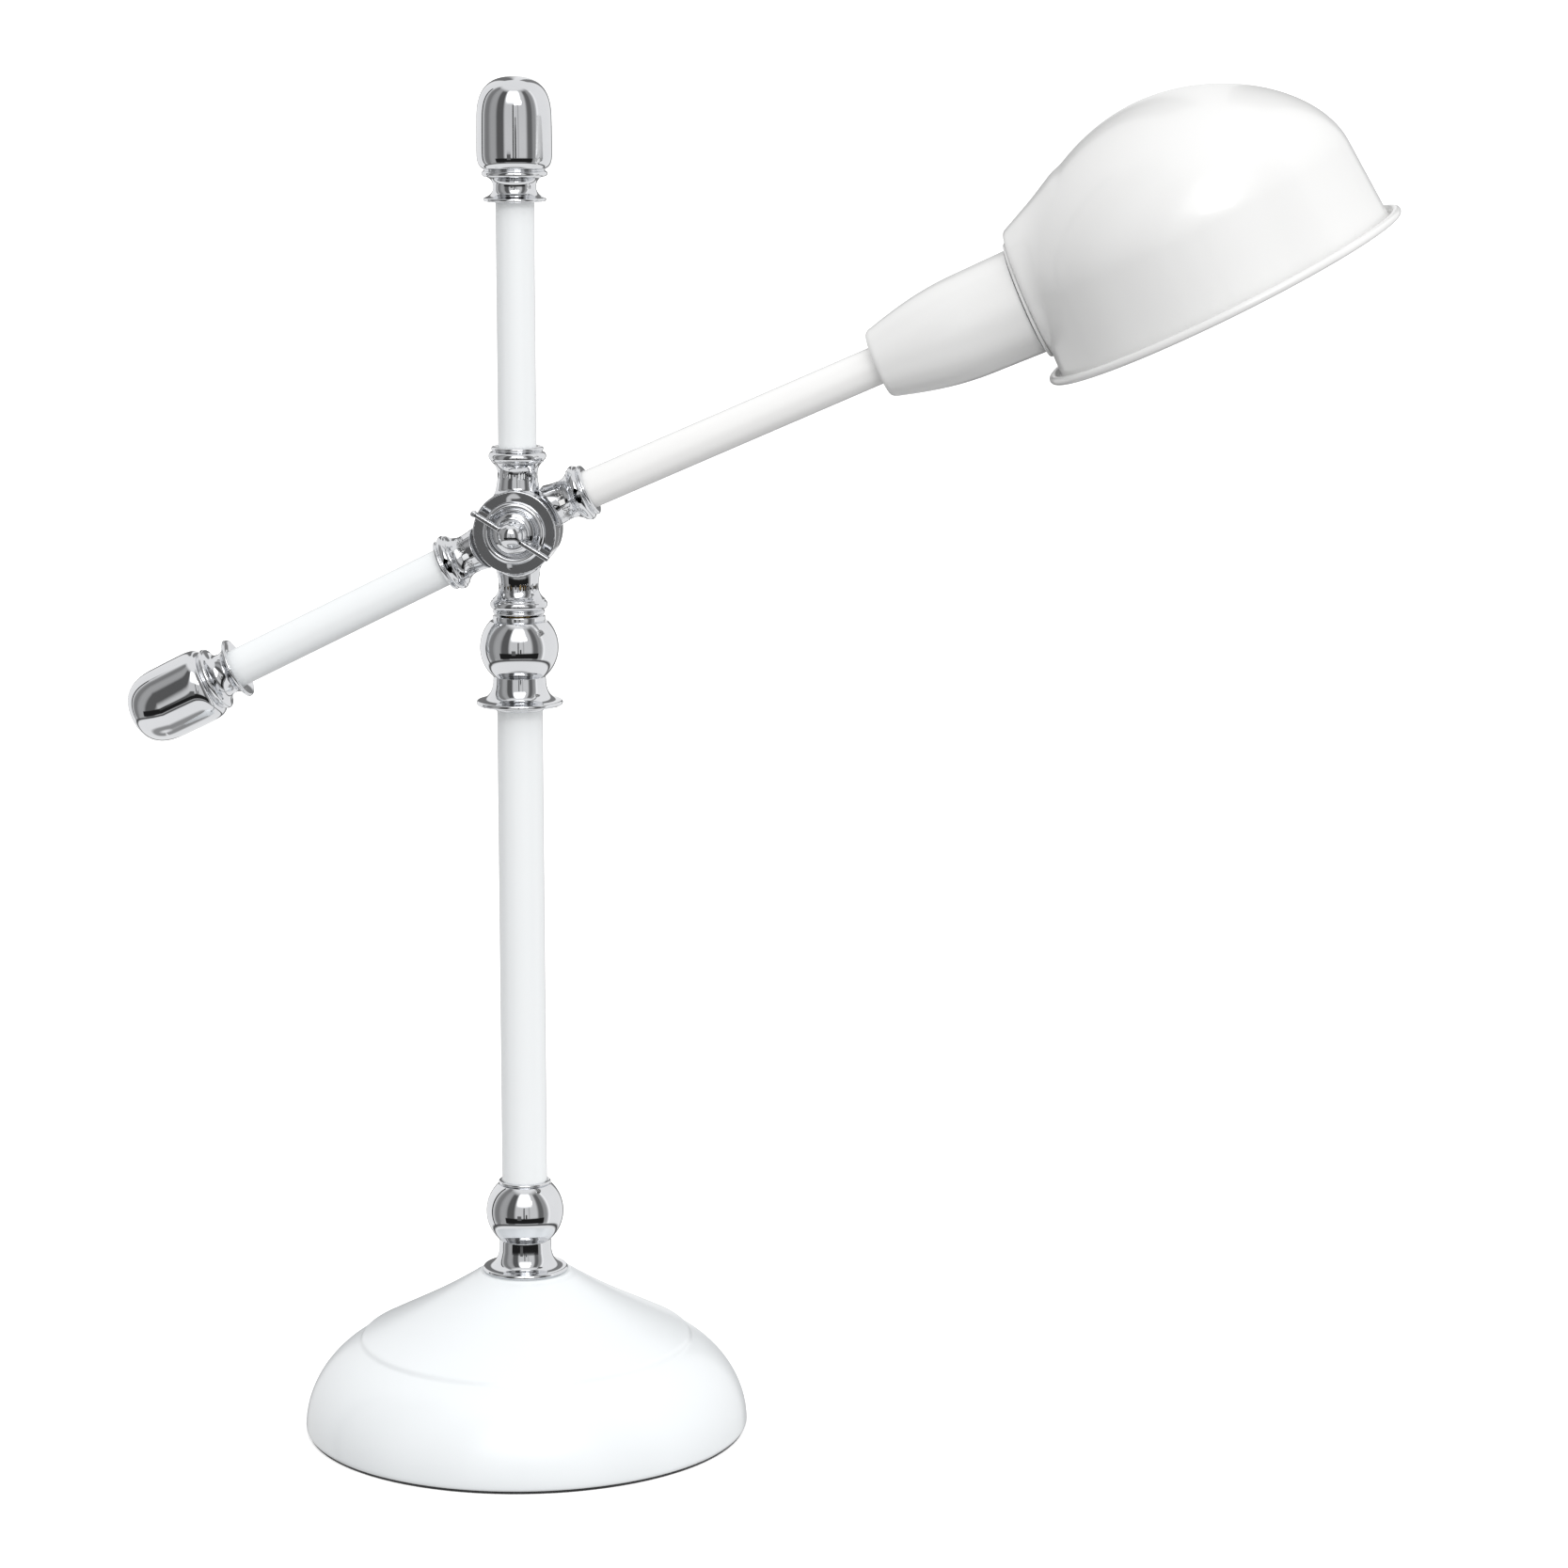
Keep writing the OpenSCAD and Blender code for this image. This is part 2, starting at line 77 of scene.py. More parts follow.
def along(origin, axis, side=Vector((0, 1, 0))):
    """A frame at origin with its Z along axis and its Y as near side as it can be."""
    z = axis.normalized()
    y = (side - z * side.dot(z)).normalized()
    m = Matrix((y.cross(z), y, z)).transposed().to_4x4()
    m.translation = origin
    return m


REAR_AXIS = (middle("rear_arm_tube") - PIVOT).normalized()
FRONT_FOOT = SHADE_SEAT - FRONT_AXIS * (SHADE_SEAT - PIVOT).dot(FRONT_AXIS)
BASE_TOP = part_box("base_shell")[1].z
COUPLING_LOW, COUPLING_HIGH = (c.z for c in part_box("stem_coupling"))
STEM_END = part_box("top_finial")[0].z
STEM = Matrix.Translation(PIVOT)
REAR = along(PIVOT, REAR_AXIS)
FRONT = along(FRONT_FOOT, FRONT_AXIS)
TO_FRONT = along(PIVOT, Vector((0, -1, 0)), Vector((0, 0, 1)))
SEAT_X = (SHADE_SEAT - FRONT_FOOT).length / MM
REAR_END = span_along("rear_finial", PIVOT, REAR_AXIS)[1]


# ---- outlines: lists of (radius, height) points in millimetres ----

def curve(a, b, c, d, n):
    t = np.linspace(0, 1, n + 1)[:, None]
    s = 1 - t
    points = (s ** 3 * np.array(a) + 3 * s * s * t * np.array(b)
              + 3 * s * t * t * np.array(c) + t ** 3 * np.array(d))
    return [tuple(p) for p in points]


def arc(centre, rx, ry, start, end, n):
    angles = np.radians(np.linspace(start, end, n + 1))
    return [(centre[0] + rx * math.cos(a), centre[1] + ry * math.sin(a)) for a in angles]


CORNER_TURN, SHARPEST = 0.35, 2.6
CORNER_SHARE = 0.45
CORNER_STEPS = 5


def soften(points, radius):
    """Rounds each corner of an outline that turns by more than CORNER_TURN radians."""
    pts = [Vector(p) for i, p in enumerate(points)
           if i == 0 or (Vector(p) - Vector(points[i - 1])).length > SAME_POINT]
    out = [pts[0]]
    for before, here, after in zip(pts, pts[1:], pts[2:]):
        back, on = (before - here), (after - here)
        turn = math.pi - back.angle(on)
        if turn < CORNER_TURN:
            out.append(here)
            continue
        reach = min(radius * math.tan(min(turn, SHARPEST) / 2),
                    back.length * CORNER_SHARE, on.length * CORNER_SHARE)
        start, end = here + back.normalized() * reach, here + on.normalized() * reach
        for i in range(CORNER_STEPS + 1):
            t = i / CORNER_STEPS
            out.append((1 - t) ** 2 * start + 2 * t * (1 - t) * here + t * t * end)
    out.append(pts[-1])
    return [tuple(p) for p in out]


FLAT_RATIO, FLAT_WEIGHT = 4, 6.0


def outline_normals(pts):
    """Unit normals to the right of travel at each point, true to the flats beside a rounded corner."""
    p = np.array(pts)
    seg = np.diff(p, axis=0)
    length = np.linalg.norm(seg, axis=1, keepdims=True)
    unit = seg / length
    before, after = np.vstack([unit[:1], unit]), np.vstack([unit, unit[-1:]])
    lb, la = np.vstack([length[:1], length]), np.vstack([length, length[-1:]])
    tangent = (before * np.where(lb > FLAT_RATIO * la, FLAT_WEIGHT, 1.0)
               + after * np.where(la > FLAT_RATIO * lb, FLAT_WEIGHT, 1.0))
    tangent /= np.linalg.norm(tangent, axis=1, keepdims=True)
    return np.stack([tangent[:, 1], -tangent[:, 0]], axis=1)


# ---- meshes ----

def new_object(name, mesh, body, mat, nodes):
    obj = bpy.data.objects.new(name, mesh)
    bpy.context.scene.collection.objects.link(obj)
    mesh.materials.append(mat)
    for polygon in mesh.polygons:
        polygon.use_smooth = True
    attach(obj, body)
    if nodes:
        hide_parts(*nodes)
    return obj


def lathe(name, outline, place, body, mat, nodes=(), steps=LATHE_STEPS, round_by=0.25):
    """A turned piece: the outline runs from its first point to its last with the outside on its right."""
    pts = np.array(soften(outline, round_by)) if round_by else np.array(outline)
    normals2 = outline_normals(pts)
    angles = np.linspace(0, TURN, steps, endpoint=False)
    cos, sin = np.cos(angles), np.sin(angles)
    verts, normals, rings = [], [], []
    for (r, z), (nr, nz) in zip(pts, normals2):
        rings.append(len(verts))
        if r < ON_AXIS:
            verts.append((0, 0, z))
            normals.append((0, 0, 1 if nz > 0 else -1))
        else:
            verts.extend(zip(r * cos, r * sin, np.full(steps, z)))
            normals.extend(zip(nr * cos, nr * sin, np.full(steps, nz)))
    faces = []
    for (r0, a), (r1, b) in zip(zip(pts[:, 0], rings), zip(pts[1:, 0], rings[1:])):
        for i in range(steps):
            j = (i + 1) % steps
            if r0 < ON_AXIS:
                faces.append((a, b + i, b + j)[::-1])
            elif r1 < ON_AXIS:
                faces.append((a + i, b, a + j)[::-1])
            else:
                faces.append((a + i, b + i, b + j, a + j)[::-1])
    if (abs(pts[0] - pts[-1]) < ON_AXIS).all() and pts[0][0] > ON_AXIS:
        last = rings[-1]
        faces = [tuple(v - last if v >= last else v for v in f) for f in faces]
        verts, normals = verts[:last], normals[:last]
    return finish_mesh(name, np.array(verts) * MM, faces, np.array(normals), place, body, mat, nodes)


def finish_mesh(name, verts, faces, normals, place, body, mat, nodes):
    rot = np.array(place.to_3x3())
    verts = verts @ rot.T + np.array(place.translation)
    mesh = bpy.data.meshes.new(name)
    mesh.from_pydata(verts.tolist(), [], [tuple(map(int, f)) for f in faces])
    mesh.update()
    obj = new_object(name, mesh, body, mat, nodes)
    if normals is not None:
        mesh.normals_split_custom_set_from_vertices((normals @ rot.T).tolist())
    return obj


# ---- smooth solids from distance fields ----

def union(a, b, k):
    h = np.maximum(k - np.abs(a - b), 0) / k
    return np.minimum(a, b) - h * h * k / 4


def cut(a, b, k):
    return -union(-a, b, k)


FIELD_STEP, FIELD_MARGIN = 0.12, 3
SLABS, PULLS, LEAST_SLOPE = 12, 4, 0.2


def outline_field(outline):
    """The signed distance to a closed outline, as a function of (radius, height) arrays."""
    closed = np.array(outline + [outline[0]])
    high = closed.max(0) + FIELD_MARGIN
    r_axis = np.arange(0, high[0], FIELD_STEP)
    z_axis = np.arange(closed[:, 1].min() - FIELD_MARGIN, high[1], FIELD_STEP)
    r, z = np.meshgrid(r_axis, z_axis, indexing="ij")
    field, inside = np.full(r.shape, 1e9), np.zeros(r.shape, bool)
    for (ar, az), (br, bz) in zip(closed[:-1], closed[1:]):
        dr, dz = br - ar, bz - az
        if max(ar, br) > ON_AXIS:
            t = np.clip(((r - ar) * dr + (z - az) * dz) / (dr * dr + dz * dz + 1e-12), 0, 1)
            field = np.minimum(field, np.hypot(r - ar - t * dr, z - az - t * dz))
        if dz:
            inside ^= ((z < az) != (z < bz)) & (r < ar + (z - az) / dz * dr)
    field = np.where(inside, -field, field)

    def value(r, z):
        i = np.clip(r / FIELD_STEP, 0, len(r_axis) - 1.001)
        j = np.clip((z - z_axis[0]) / FIELD_STEP, 0, len(z_axis) - 1.001)
        i0, j0 = i.astype(int), j.astype(int)
        fi, fj = i - i0, j - j0
        return ((field[i0, j0] * (1 - fi) + field[i0 + 1, j0] * fi) * (1 - fj)
                + (field[i0, j0 + 1] * (1 - fi) + field[i0 + 1, j0 + 1] * fi) * fj)
    return value


def net_surface(field, low, high, step):
    """Vertices, quads and normals of the surface where field is zero, by surface nets."""
    axes = [np.arange(l, h + step, step) for l, h in zip(low, high)]
    grid = np.stack(np.meshgrid(*axes, indexing="ij"), -1)
    slabs = [field(part.reshape(-1, 3)) for part in np.array_split(grid, SLABS)]
    value = np.concatenate(slabs).reshape(grid.shape[:3])
    solid = value < 0
    n = np.array(solid.shape)
    count = sum(solid[i:n[0] - 1 + i, j:n[1] - 1 + j, k:n[2] - 1 + k].astype(int)
                for i in (0, 1) for j in (0, 1) for k in (0, 1))
    cells = np.argwhere((count > 0) & (count < 8))
    index = np.full(n - 1, -1)
    index[tuple(cells.T)] = np.arange(len(cells))
    total, hits = np.zeros((len(cells), 3)), np.zeros(len(cells))
    corners = [(i, j, k) for i in (0, 1) for j in (0, 1) for k in (0, 1)]
    for a in corners:
        for b in corners:
            if sum(b) - sum(a) != 1 or any(y < x for x, y in zip(a, b)):
                continue
            va = value[tuple((cells + a).T)]
            vb = value[tuple((cells + b).T)]
            crossing = (va < 0) != (vb < 0)
            t = np.where(crossing, va / np.where(crossing, va - vb, 1), 0)
            point = np.array(a) + t[:, None] * (np.array(b) - np.array(a))
            total += point * crossing[:, None]
            hits += crossing
    verts = np.array(low) + (cells + total / hits[:, None]) * step

    def slope(p):
        steps = np.eye(3) * FIELD_STEP
        return np.stack([(field(p + d) - field(p - d)) / (2 * FIELD_STEP) for d in steps], -1)

    for _ in range(PULLS):
        g = slope(verts)
        size = np.maximum((g * g).sum(1, keepdims=True), LEAST_SLOPE)
        verts = verts - np.clip(field(verts)[:, None] * g / size, -step, step)
    faces = []
    for axis in range(3):
        u, v = (axis + 1) % 3, (axis + 2) % 3
        here = [slice(1, -1)] * 3
        here[axis] = slice(0, -1)
        there = [slice(1, -1)] * 3
        there[axis] = slice(1, None)
        a, b = solid[tuple(here)], solid[tuple(there)]
        offset = np.array([1, 1, 1])
        offset[axis] = 0
        for flip, edges in ((False, a & ~b), (True, ~a & b)):
            e = np.argwhere(edges) + offset
            du, dv = np.zeros(3, int), np.zeros(3, int)
            du[u], dv[v] = 1, 1
            quad = [index[tuple((e - s).T)] for s in (du * 0, du, du + dv, dv)]
            quad = np.stack(quad[::-1] if flip else quad, -1)
            faces.append(quad)
    normals = slope(verts)
    normals /= np.linalg.norm(normals, axis=1, keepdims=True)
    return verts, np.concatenate(faces), normals


# ---- materials ----

IOR = 1.5
NOISE_LOW, NOISE_HIGH, NOISE_ROUGHNESS = 0.3, 0.7, 0.55
ROUGH_GRAIN = 2.7
BUMP_DEPTH = 0.0004


def material(name, colour, rough, metal=0.0, rough_spread=0.05, coat=0.0, coat_rough=0.05, sheen=0.0,
             transmission=0.0, *, spread, grain, bump, bump_grain):
    """A surface with its colour and roughness varied by noise, and a fine bump."""
    mat = bpy.data.materials.new(name)
    mat.use_nodes = True
    nodes, links = mat.node_tree.nodes, mat.node_tree.links
    shader = nodes["Principled BSDF"]
    shader.inputs["Metallic"].default_value = metal
    shader.inputs["IOR"].default_value = IOR
    shader.inputs["Coat Weight"].default_value = coat
    shader.inputs["Coat Roughness"].default_value = coat_rough
    shader.inputs["Sheen Weight"].default_value = sheen
    shader.inputs["Transmission Weight"].default_value = transmission
    place = nodes.new("ShaderNodeTexCoord")

    def noise(scale, detail=4.0):
        n = nodes.new("ShaderNodeTexNoise")
        n.inputs["Scale"].default_value = scale
        n.inputs["Detail"].default_value = detail
        n.inputs["Roughness"].default_value = NOISE_ROUGHNESS
        links.new(place.outputs["Object"], n.inputs["Vector"])
        return n.outputs["Fac"]

    def spread_map(source, low, high):
        m = nodes.new("ShaderNodeMapRange")
        m.inputs["From Min"].default_value, m.inputs["From Max"].default_value = NOISE_LOW, NOISE_HIGH
        m.inputs["To Min"].default_value, m.inputs["To Max"].default_value = low, high
        links.new(source, m.inputs["Value"])
        return m.outputs["Result"]

    ramp = nodes.new("ShaderNodeValToRGB")
    dark, light = ramp.color_ramp.elements
    dark.position, light.position = NOISE_LOW, NOISE_HIGH
    dark.color = (*[max(0, c - spread) for c in colour], 1)
    light.color = (*[min(1, c + spread) for c in colour], 1)
    links.new(noise(grain), ramp.inputs["Fac"])
    links.new(ramp.outputs["Color"], shader.inputs["Base Color"])
    smooth, dull = max(0.01, rough - rough_spread), rough + rough_spread
    links.new(spread_map(noise(grain * ROUGH_GRAIN, 6.0), smooth, dull), shader.inputs["Roughness"])
    b = nodes.new("ShaderNodeBump")
    b.inputs["Strength"].default_value = bump
    b.inputs["Distance"].default_value = BUMP_DEPTH
    links.new(noise(bump_grain, 2.0), b.inputs["Height"])
    links.new(b.outputs["Normal"], shader.inputs["Normal"])
    return mat


ENAMEL = {"spread": 0.004, "rough_spread": 0.012, "grain": 14, "bump": 0.05, "bump_grain": 420,
          "coat": 0.25, "coat_rough": 0.12}
# The base, the stem and rear arm tubes and the front arm tube share one white enamel. Each copy's colour is
# set for how the light falls on that part: the base's is darker (painted shade), the tubes' are lighter
# (painted light), and the front arm's is lighter and warmer (painted light).
WHITE = material("base_enamel_shaded", (0.825, 0.852, 0.868), 0.30, **ENAMEL)
TUBE_WHITE = material("tube_enamel_lit", (0.865, 0.885, 0.895), 0.30, **ENAMEL)
ARM_WHITE = material("arm_enamel_lit", (0.875, 0.872, 0.865), 0.30, **ENAMEL)
SHADE_WHITE = material("shade_enamel", (0.80, 0.80, 0.795), 0.34, spread=0.004, rough_spread=0.015, grain=22,
                       bump=0.05, bump_grain=420, coat=0.45, coat_rough=0.09)
CHROME = material("chrome", (0.76, 0.77, 0.79), 0.04, metal=1.0, spread=0.02, rough_spread=0.015, grain=60,
                  bump=0.012, bump_grain=160)
CHROME_CAST = material("chrome_cast", (0.74, 0.75, 0.77), 0.055, metal=1.0, spread=0.03, rough_spread=0.02,
                       grain=90, bump=0.03, bump_grain=130)
FELT = material("felt", (0.02, 0.02, 0.021), 0.95, spread=0.008, rough_spread=0.04, grain=900, bump=0.8,
                bump_grain=2600, sheen=0.4)
IRON = material("cast_iron", (0.10, 0.10, 0.105), 0.7, metal=0.6, spread=0.03, grain=300, bump=0.7,
                bump_grain=900)
STEEL = material("zinc_steel", (0.58, 0.59, 0.61), 0.35, metal=1.0, spread=0.04, grain=120, bump=0.1,
                 bump_grain=700)
BRASS = material("brass", (0.72, 0.53, 0.24), 0.28, metal=1.0, spread=0.04, grain=120, bump=0.1,
                 bump_grain=700)
PLASTIC = material("white_plastic", (0.78, 0.78, 0.76), 0.38, spread=0.01, grain=80, bump=0.1, bump_grain=900)
JACKET = material("lead_jacket", (0.03, 0.03, 0.03), 0.6, spread=0.008, grain=200, bump=0.2, bump_grain=1200)
FIBRE = material("fibre", (0.22, 0.15, 0.09), 0.8, spread=0.04, grain=400, bump=0.5, bump_grain=1500)
PHENOLIC = material("phenolic", (0.025, 0.024, 0.023), 0.32, spread=0.006, grain=150, bump=0.15,
                    bump_grain=900, coat=0.3)
GLASS = material("frosted_glass", (0.93, 0.93, 0.90), 0.35, spread=0.01, grain=60, bump=0.05, bump_grain=900,
                 transmission=0.35)

# ---- base ----

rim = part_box("base_shell")[1].x / MM - 0.02
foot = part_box("base_shell")[0].z / MM
top = BASE_TOP / MM
wall = 1.3


def base_line(inset):
    r, t = rim - inset, top - inset
    return (curve((r - 0.6, foot + inset / 4), (r - 0.1, foot + 0.5), (r, foot + 0.9), (r, 3), 6)
            + curve((r, 3), (r - 0.5, 16), (r - 8.6, 27.8 - inset), (r - 20.3, 34.4 - inset), 40)[1:]
            + curve((r - 20.7, 34.6 - inset), (r - 21.5, 35), (r - 21.6, 35.5 - inset),
                    (r - 22, 36.3 - inset), 8)[1:]
            + curve((r - 22, 36.3 - inset), (r - 22.4, 37), (r - 23, 37.3 - inset),
                    (r - 24, 37.8 - inset), 8)[1:]
            + curve((r - 24, 37.8 - inset), (r - 36, 44.2 - inset), (36, 50.5 - inset),
                    (20.6, 60.6 - inset), 36)[1:]
            + curve((20.2, 60.9 - inset), (19.4, 61.4 - inset), (18.6, 61.6 - inset), (17.6, t), 6))


outer, inner = base_line(0), base_line(wall)
lathe("base_shell_spun",
      [(NIPPLE_HOLE, top - wall)] + inner[::-1] + outer + [(NIPPLE_HOLE, top), (NIPPLE_HOLE, top - wall)],
      Matrix(), "base", WHITE, ["base_shell"], steps=256, round_by=0.12)
pad_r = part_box("base_pad")[1].x / MM
lathe("base_pad_felt",
      [(0, 0), (pad_r - 0.3, 0), (pad_r, 0.3), (pad_r, foot - 0.2), (pad_r - 0.2, foot), (0, foot)],
      Matrix(), "base", FELT, ["base_pad"], steps=256, round_by=0.2)

# ---- turned fittings on the stem ----

BALL = 14.9
FLANGE = 16.0


def fitting_line(ball_z, low, high, bore, floor=0.0):
    """Trumpet flange, waist and ball, from the flange's underside up."""
    return ([(bore, floor), (FLANGE - 0.2, floor)]
            + arc((FLANGE - 0.35, floor + 0.9), 0.75, 0.9, -80, 88, 12)
            + curve((FLANGE - 1.1, floor + 1.95), (12.4, floor + 2.5), (10.5, floor + 4.4),
                    (10.1, floor + 8.2), 20)
            + [(10.0, floor + low - 0.7)]
            + arc((0, floor + ball_z), BALL, BALL, -math.degrees(math.asin((ball_z - low) / BALL)),
                  math.degrees(math.asin((high - ball_z) / BALL)), 56))


lower_r = (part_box("lower_stem")[1].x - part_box("lower_stem")[0].x) / 2 / MM
tube_r = (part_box("upper_stem")[1].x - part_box("upper_stem")[0].x) / 2 / MM
TUBE_WALL = 1.2
base_fitting_h = (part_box("base_fitting")[1].z - BASE_TOP) / MM
outline = fitting_line(23.7, 12.8, 34.6, NIPPLE_HOLE)
outline += ([(9.6, 34.75), (9.5, 34.9)] + arc((9.45, 35.45), 0.62, 0.6, -75, 85, 10)
            + [(lower_r + FIT, base_fitting_h), (lower_r + FIT, 20), (NIPPLE_HOLE, 14), (NIPPLE_HOLE, 0)])
lathe("base_fitting_turned", outline, Matrix.Translation((0, 0, BASE_TOP)), "base", CHROME, ["base_fitting"])

coupling_h = (COUPLING_HIGH - COUPLING_LOW) / MM
outline = ([(lower_r + FIT, 0), (9.5, 0)] + arc((9.5, 0.85), 0.8, 0.85, -85, 60, 10) + [(10.0, 1.7)]
           + fitting_line(22, 10.9, 32.1, 10.2, 1.7)[1:]
           + [(9.75, 34.0), (9.75, 34.15), (9.95, 34.3), (9.95, coupling_h - 0.3), (9.6, coupling_h),
              (NIPPLE_HOLE, coupling_h), (NIPPLE_HOLE, 14), (lower_r + FIT, 12), (lower_r + FIT, 0)])
lathe("stem_coupling_turned", outline, Matrix.Translation((0, 0, COUPLING_LOW)), "base", CHROME,
      ["stem_coupling"])


def tube(name, node, radius, start, end, place, body, mat=TUBE_WHITE):
    bore = radius - TUBE_WALL
    lathe(name, [(bore, start), (radius, start), (radius, end), (bore, end), (bore, start)], place, body, mat,
          [node], steps=128, round_by=0.25)


SOCKET = 31.9
TUBE_SEAT = 12.0
low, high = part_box("lower_stem")
tube("lower_stem_tube", "lower_stem", lower_r, low.z / MM, high.z / MM, Matrix(), "base")
low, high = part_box("upper_stem")
tube("upper_stem_tube", "upper_stem", tube_r, low.z / MM, high.z / MM, Matrix(), "head")

# ---- finials ----

FINIAL = (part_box("top_finial")[1].z - STEM_END) / MM
finial_line = ([(tube_r + FIT, 10), (tube_r + FIT, 1.1), (9.2, 0.25), (11.1, 0), (11.5, 0.1)]
               + arc((11.3, 0.75), 0.45, 0.6, -70, 85, 8)
               + curve((10.9, 1.6), (9.3, 2.2), (8.2, 3.4), (8.05, 4.9), 14)
               + curve((8.05, 5.4), (8.05, 7.0), (8.7, 8.2), (10.5, 9.1), 14)
               + arc((11.15, 10.35), 1.15, 1.15, -65, 75, 12)
               + [(11.35, 11.75)]
               + curve((11.5, 11.95), (13.2, 12.6), (14.0, 14.2), (14.12, 17.2), 18)
               + curve((14.14, 18.2), (14.15, 22), (14.1, 27), (14.0, 31.2), 6)
               + curve((14.0, 31.6), (13.7, 40.8), (10.2, FINIAL), (0, FINIAL), 40)[:-1] + [(0, FINIAL)])
lathe("top_finial_turned", finial_line, Matrix.Translation((0, 0, STEM_END)), "head", CHROME, ["top_finial"])
rear_len = REAR_END - FINIAL
lathe("rear_finial_turned", finial_line, REAR @ Matrix.Translation((0, 0, rear_len * MM)), "arm", CHROME,
      ["rear_finial"])
tube("rear_arm_tube_white", "rear_arm_tube", tube_r, SOCKET - TUBE_SEAT, rear_len + TUBE_SEAT, REAR, "arm")

# ---- the two pivot castings ----

NECK = 7.6
socket_line = ([(0, 5), (NECK + 1.4, 5)]
               + curve((NECK + 1.3, 13), (NECK + 0.5, 16.5), (NECK - 0.2, 19.4), (NECK, 22.2), 16)
               + curve((NECK, 22.4), (NECK + 0.4, 24.4), (NECK + 1.3, 25.3), (NECK + 2.4, 26.1), 12)[1:]
               + arc((NECK + 1.1, 28.1), 2.2, 2.0, -55, 62, 16)
               + [(NECK + 1.75, 30.05)]
               + arc((NECK + 1.35, 30.95), 0.95, 0.85, -60, 90, 10)
               + [(0, SOCKET - 0.1)])
DISC_R = (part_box("pivot_rosette")[1].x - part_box("pivot_rosette")[0].x) / 2 / MM + 3.9
DISC_FACE = 9.2
LAP = DISC_R + 1.9
LAP_GAP = 0.5
BOLT = 3.05
socket_field = outline_field(socket_line)


def socket_at(points, origin, axis):
    d = points - np.array(origin)
    s = d @ np.array(axis)
    r = np.sqrt(np.maximum((d * d).sum(1) - s * s, 1e-9))
    neck = socket_field(r, s)
    hole = np.maximum(r - tube_r - FIT, SOCKET - TUBE_SEAT - s)
    return cut(neck, hole, 0.35)


def lapped(points, necks, side):
    """One casting: necks cut back round the other disc, and its own disc. Side is -1 in front, 1 behind."""
    rho = np.hypot(points[:, 0], points[:, 2])
    y = points[:, 1] * side
    body = cut(necks, np.maximum(rho - LAP, y - LAP_GAP), 0.4)
    half, edge = (DISC_FACE - LAP_GAP) / 2, 0.35
    qr = rho - DISC_R + edge
    qy = np.abs(y - LAP_GAP - half) - half + edge
    disc = np.hypot(np.maximum(qr, 0), np.maximum(qy, 0)) + np.minimum(np.maximum(qr, qy), 0) - edge
    return cut(union(body, disc, 0.9), rho - BOLT, 0.3)


def stem_field(points):
    up, down = socket_at(points, (0, 0, 0), (0, 0, 1)), socket_at(points, (0, 0, 0), (0, 0, -1))
    return lapped(points, np.minimum(up, down), -1)


FRONT_SHIFT = tuple((FRONT_FOOT - PIVOT) / MM)
TILT_UP = math.radians(3)
RELIEF = np.array((math.sin(TILT_UP), 0, math.cos(TILT_UP)))


def arm_field(points):
    rear, front = socket_at(points, (0, 0, 0), REAR_AXIS), socket_at(points, FRONT_SHIFT, FRONT_AXIS)
    s = points @ RELIEF
    relief = np.maximum(np.linalg.norm(points - s[:, None] * RELIEF, axis=1) - NECK - 1, 10 - s)
    return lapped(points, cut(np.minimum(rear, front), relief, 0.4), 1)


def cast(name, field, low, high, step, place, body, nodes):
    verts, faces, normals = net_surface(field, low, high, step)
    return finish_mesh(name, verts * MM, faces, normals, place, body, CHROME_CAST, nodes)


CAST_STEP, NUT_STEP = 0.36, 0.24
reach = SOCKET + 1
# Each grid stops at 10.5 on one side, short of the beads' 10.9, and leaves a small hole in them there
cast("stem_casting_chrome", stem_field, (-19, -11, -reach), (19, 10.5, reach), CAST_STEP, STEM, "head",
     ["stem_casting"])
cast("arm_casting_chrome", arm_field, (-reach - 2, -10.5, -reach + 6), (reach + 2, 11, reach - 2), CAST_STEP,
     STEM, "arm", ["arm_casting"])

# ---- bolt, rosette, washer and wing nut ----

FACE = TO_FRONT @ Matrix.Translation((0, 0, DISC_FACE * MM))
ROSETTE = 3.0
lathe("pivot_rosette_turned",
      [(BOLT, 0), (11.9, 0)] + arc((10.4, 0.5), 1.5, 1.8, 0, 155, 18)
      + curve((8.8, 0.95), (8.3, 0.9), (8.2, 1.7), (7.6, 2.2), 10)
      + [(6.9, 2.6), (6.2, ROSETTE), (BOLT, ROSETTE), (BOLT, 0)],
      FACE, "head", CHROME, ["pivot_rosette"])
lathe("nut_washer_turned",
      [(BOLT, ROSETTE), (6.3, ROSETTE), (6.5, ROSETTE + 0.3), (6.3, ROSETTE + 0.9), (5.8, ROSETTE + 1.1),
       (BOLT, ROSETTE + 1.1), (BOLT, ROSETTE)], FACE, "head", CHROME, ["nut_washer"], round_by=0.15)
NUT_BASE = -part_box("wing_nut")[1].y / MM - DISC_FACE
SPAN = 33.8
WING_ANGLE = math.radians(-31)
nut_line = ([(0, NUT_BASE), (5.1, NUT_BASE)] + arc((5.0, NUT_BASE + 0.5), 0.4, 0.5, -80, 80, 8)
            + curve((5.2, NUT_BASE + 1.4), (4.9, NUT_BASE + 2.2), (4.4, NUT_BASE + 2.6),
                    (4.4, NUT_BASE + 3.4), 10)
            + arc((0, NUT_BASE + 4), 4.7, 4.2, 0, 90, 40))
nut_body = outline_field(nut_line)


